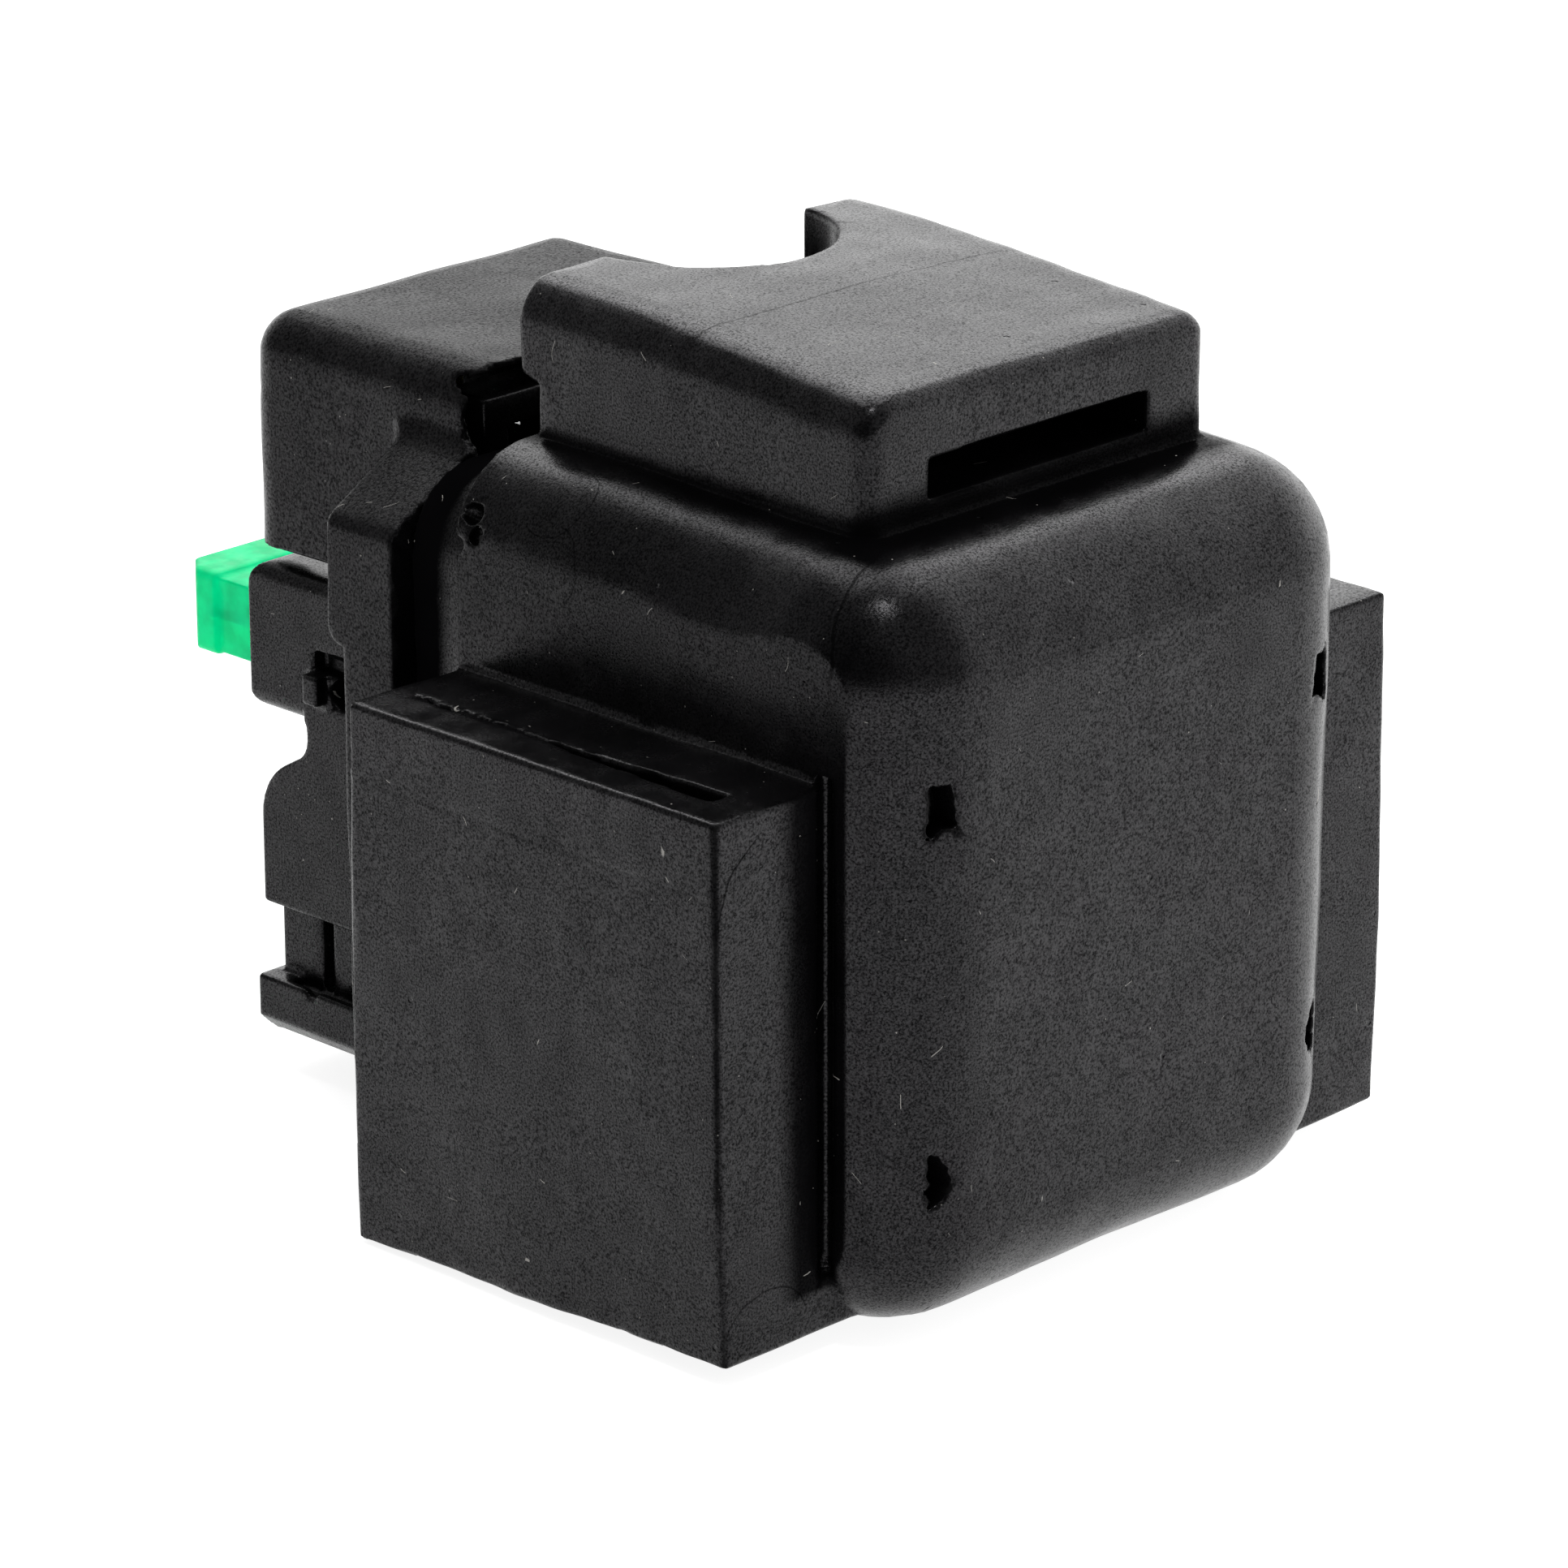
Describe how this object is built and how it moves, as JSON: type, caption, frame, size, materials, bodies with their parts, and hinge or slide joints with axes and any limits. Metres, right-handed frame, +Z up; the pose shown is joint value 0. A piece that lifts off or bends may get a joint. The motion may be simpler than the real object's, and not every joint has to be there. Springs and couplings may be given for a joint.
{
  "type": "starter relay",
  "caption": "Boxed starter relay in a black rubber mounting boot, with covered stud terminals, a plug-in blade fuse and a plug socket.",
  "frame": {"origin": "centre of the overall box's footprint, on the resting plane under the boot", "axes": "+Z up; +Y towards the boot's closed end, so the fuse, plug socket and terminal cover face -Y; +X is the battery stud's side"},
  "size_m": [0.0528, 0.067, 0.0524],
  "materials": {
    "boot_rubber": "satin moulded rubber with dust specks",
    "case_plastic": "moulded black thermoplastic",
    "gasket_rubber": "matte",
    "housing_plastic": "satin moulded black thermoplastic",
    "cover_plastic": "soft vinyl with a fine grain",
    "copper": "rolled copper strip",
    "plated_stud": "yellow zinc plate",
    "zinc_plate": "bright zinc plate",
    "spring_steel": "drawn wire",
    "rod_steel": "ground stainless steel",
    "soft_iron": "zinc-plated soft iron",
    "brass_sleeve": "drawn tube",
    "bobbin_nylon": "natural nylon",
    "winding_wire": "enamelled copper wire",
    "winding_tape": "polyester tape",
    "tinned_brass": "tinned brass strip",
    "fuse_plastic": "clear green moulded plastic",
    "fuse_zinc": "zinc alloy strip"
  },
  "bodies": {
    "relay": {"rubber_boot": "boot_rubber", "relay_case": "case_plastic", "case_gasket": "gasket_rubber", "front_housing": "housing_plastic", "battery_bar": "copper", "motor_bar": "copper", "battery_stud": "plated_stud", "motor_stud": "plated_stud", "flat_washers": "zinc_plate", "spring_washers": "zinc_plate", "stud_nuts": "zinc_plate", "fixed_core": "soft_iron", "pole_plate": "soft_iron", "yoke_frame": "soft_iron", "guide_sleeve": "brass_sleeve", "bobbin": "bobbin_nylon", "coil_winding": "winding_wire", "winding_tape": "winding_tape", "coil_pin_feed": "tinned_brass", "coil_pin_return": "tinned_brass", "coil_lead_feed": "winding_wire", "coil_lead_return": "winding_wire", "fuse_feed_clip": "tinned_brass", "fuse_output_strap": "tinned_brass"},
    "cover": {"terminal_cover": "cover_plastic"},
    "fuse": {"fuse_body": "fuse_plastic", "fuse_link": "fuse_zinc"},
    "armature": {"plunger": "soft_iron", "push_rod": "rod_steel", "rod_clip": "spring_steel", "return_spring": "spring_steel", "contact_spring": "spring_steel"},
    "bridge": {"moving_contact": "copper"}
  },
  "joints": [
    {"name": "cover_pull", "type": "slide", "parent": "relay", "child": "cover", "axis": [0, -1, 0], "range_m": [0, 0.022]},
    {"name": "fuse_pull", "type": "slide", "parent": "relay", "child": "fuse", "axis": [0, -1, 0], "range_m": [0, 0.016]},
    {"name": "plunger_slide", "type": "slide", "parent": "relay", "child": "armature", "axis": [0, -1, 0], "range_m": [0, 0.002], "stiffness_N_per_m": 250, "springref_m": -0.008, "deforming": ["return_spring", "contact_spring"]},
    {"name": "bridge_overtravel", "type": "slide", "parent": "armature", "child": "bridge", "axis": [0, 1, 0], "range_m": [0, 0.0005]}
  ],
  "couplings": [
    {"joint": "bridge_overtravel", "follows": "plunger_slide", "ratio": 0.25}
  ]
}
